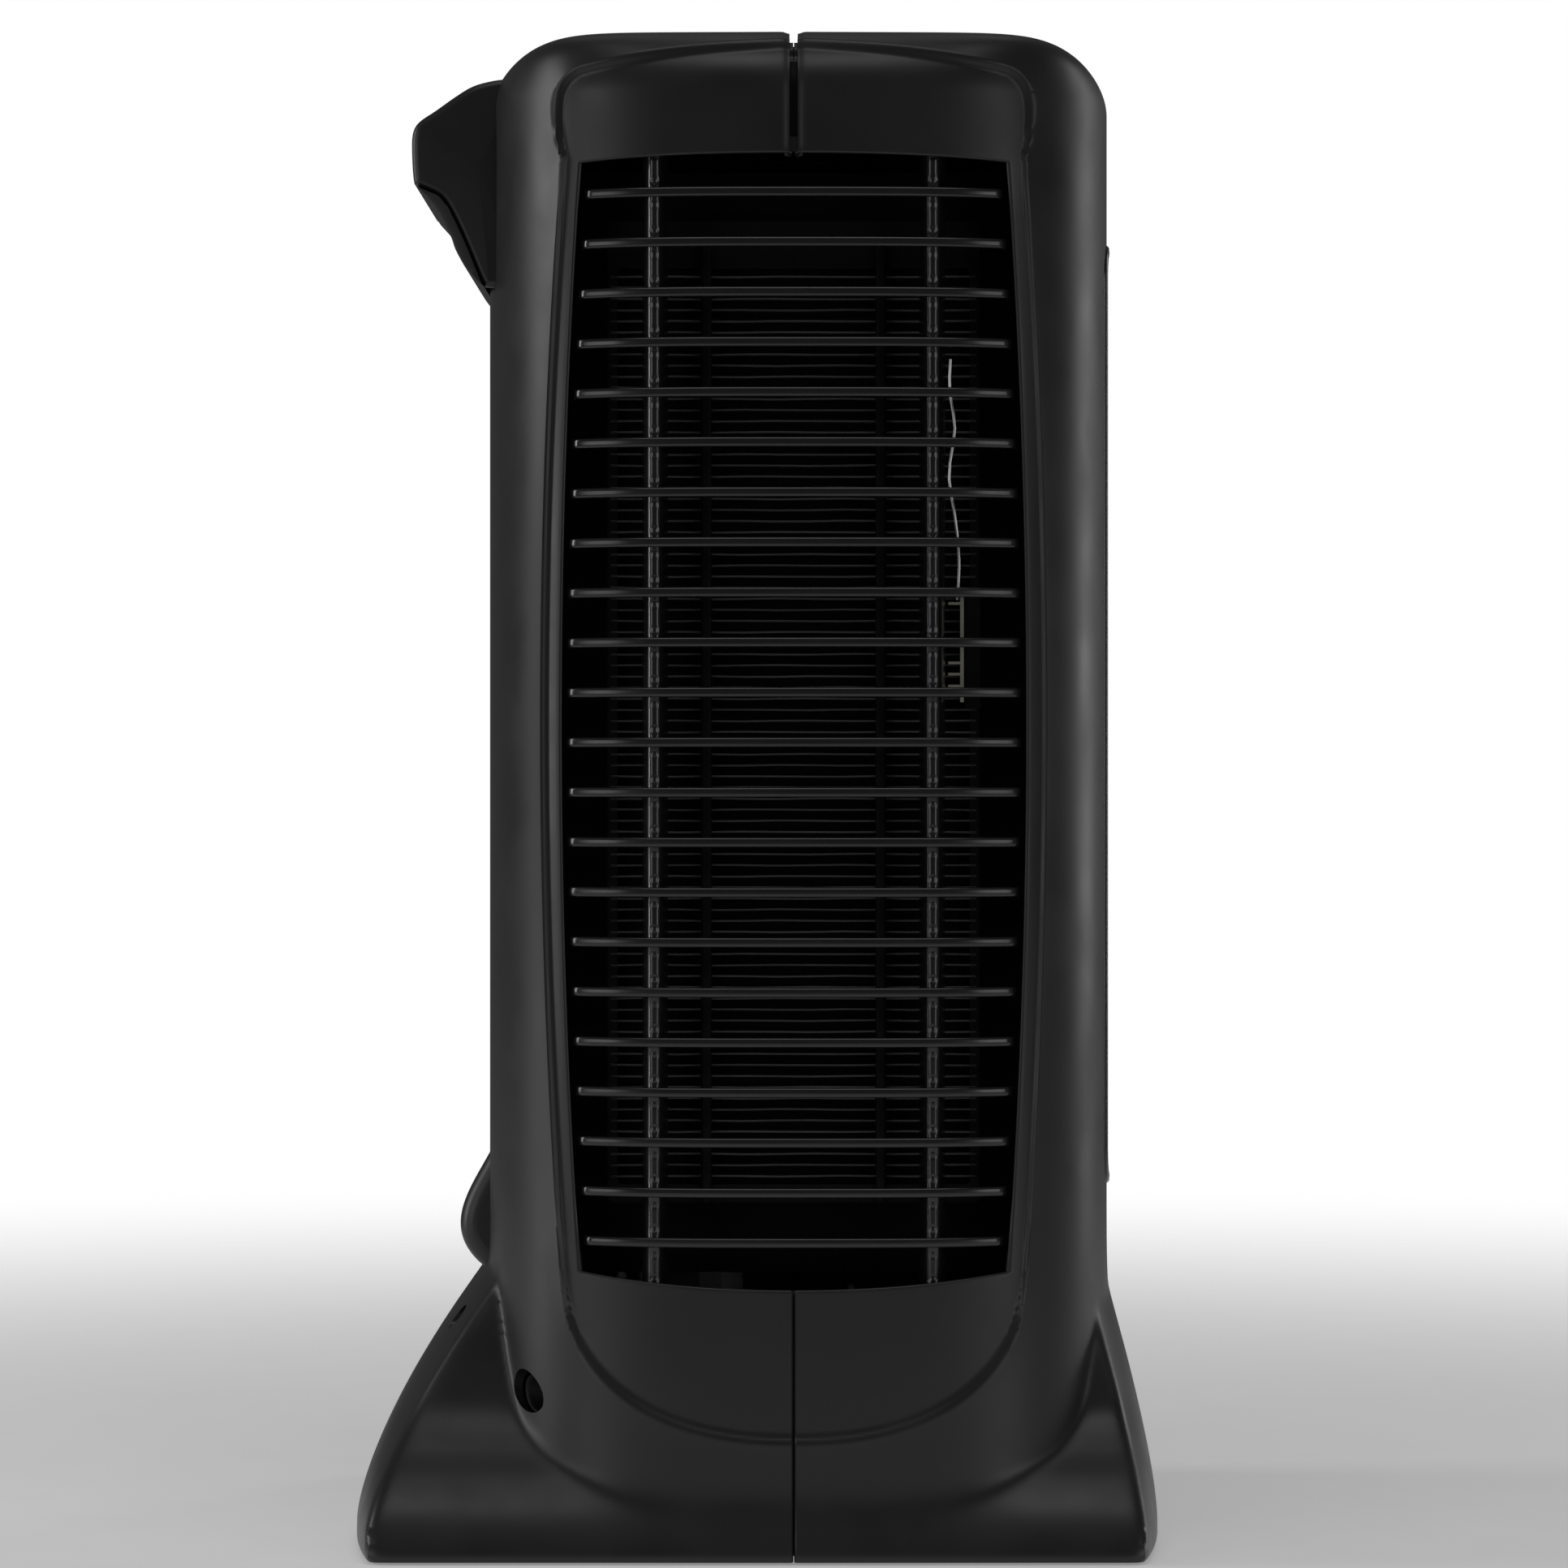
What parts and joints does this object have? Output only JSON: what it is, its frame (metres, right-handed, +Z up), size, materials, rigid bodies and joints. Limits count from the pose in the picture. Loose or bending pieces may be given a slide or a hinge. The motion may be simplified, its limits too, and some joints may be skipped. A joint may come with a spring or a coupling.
{
  "type": "ceramic space heater",
  "caption": "Upright ceramic space heater: two-shell tower on a flared base, louvred side inlets, rear carry handle, top controls, cross-flow blower and ceramic heating core.",
  "frame": {"origin": "on the floor under the middle of the footprint", "axes": "+X is the front, where warm air leaves; +Y is the heater's left; +Z is up"},
  "size_m": [0.2458, 0.2234, 0.46],
  "materials": {
    "satin_black": "satin moulded ABS, fine texture",
    "grille_black": "smooth moulded ABS",
    "guard_black": "plain moulded",
    "grip_black": "soft satin",
    "gloss_black": "polished",
    "dark_plastic": "plain moulded",
    "circuit_board": "solder mask",
    "filter_black": null,
    "rubber_black": "matt",
    "ceramic_white": null,
    "aluminium_part": "mill finish",
    "brass_part": "stamped",
    "zinc_steel": "zinc plated"
  },
  "bodies": {
    "body": {"front_shell": "satin_black", "rear_shell": "satin_black", "side_grille_right": "grille_black", "inlet_guard_right": "guard_black", "guard_bar_right_rear": "guard_black", "guard_bar_right_front": "guard_black", "inlet_filter_right": "filter_black", "side_grille_left": "grille_black", "inlet_guard_left": "guard_black", "guard_bar_left_rear": "guard_black", "guard_bar_left_front": "guard_black", "inlet_filter_left": "filter_black", "outlet_grille": "grille_black", "carry_handle": "satin_black", "handle_grip": "grip_black", "rear_cowl": "satin_black", "control_panel": "gloss_black", "display_window": "gloss_black", "control_board": "circuit_board", "power_board": "circuit_board", "heat_sink": "aluminium_part", "base_plate": "dark_plastic", "foot_front_right": "rubber_black", "base_screw_front_right": "zinc_steel", "foot_front_left": "rubber_black", "base_screw_front_left": "zinc_steel", "foot_rear_right": "rubber_black", "base_screw_rear_right": "zinc_steel", "foot_rear_left": "rubber_black", "base_screw_rear_left": "zinc_steel", "shell_screw_lower_right": "zinc_steel", "shell_screw_lower_left": "zinc_steel", "shell_screw_upper_right": "zinc_steel", "shell_screw_upper_left": "zinc_steel", "tip_switch": "dark_plastic", "cord_bush": "rubber_black", "terminal_block": "ceramic_white", "core_frame": "dark_plastic", "ceramic_bar_1": "ceramic_white", "ceramic_bar_2": "ceramic_white", "fin_pack_1": "aluminium_part", "fin_pack_2": "aluminium_part", "fin_pack_3": "aluminium_part", "thermal_cutoff": "ceramic_white", "thermostat": "dark_plastic", "thermostat_tabs": "brass_part", "sensor_lead": "zinc_steel", "lower_deck": "dark_plastic", "upper_deck": "dark_plastic", "blower_scroll": "dark_plastic", "upper_bearing": "brass_part", "blower_motor": "zinc_steel"},
    "blower": {"blower_wheel": "dark_plastic", "blower_shaft": "zinc_steel"},
    "tip_plunger_body": {"tip_plunger": "grip_black"},
    "cooler_key": {"cooler_button": "grip_black"},
    "timer_key": {"timer_button": "grip_black"},
    "power_key": {"power_button": "grip_black"},
    "mode_key": {"mode_button": "grip_black"},
    "warmer_key": {"warmer_button": "grip_black"}
  },
  "joints": [
    {"name": "blower_spin", "type": "hinge", "parent": "body", "child": "blower", "pos_m": [-0.0188, 0, 0.25], "axis": [0, 0, 1], "continuous": true},
    {"name": "cooler_press", "type": "slide", "parent": "body", "child": "cooler_key", "axis": [0, 0, -1], "range_m": [0, 0.0012], "stiffness_N_per_m": 400, "springref_m": -0.0005},
    {"name": "timer_press", "type": "slide", "parent": "body", "child": "timer_key", "axis": [0, 0, -1], "range_m": [0, 0.0012], "stiffness_N_per_m": 400, "springref_m": -0.0005},
    {"name": "power_press", "type": "slide", "parent": "body", "child": "power_key", "axis": [0, 0, -1], "range_m": [0, 0.0012], "stiffness_N_per_m": 400, "springref_m": -0.0005},
    {"name": "mode_press", "type": "slide", "parent": "body", "child": "mode_key", "axis": [0, 0, -1], "range_m": [0, 0.0012], "stiffness_N_per_m": 400, "springref_m": -0.0005},
    {"name": "warmer_press", "type": "slide", "parent": "body", "child": "warmer_key", "axis": [0, 0, -1], "range_m": [0, 0.0012], "stiffness_N_per_m": 400, "springref_m": -0.0005},
    {"name": "tip_plunger_slide", "type": "slide", "parent": "body", "child": "tip_plunger_body", "axis": [0, 0, -1], "range_m": [0, 0.004], "stiffness_N_per_m": 60, "springref_m": 0.004}
  ]
}
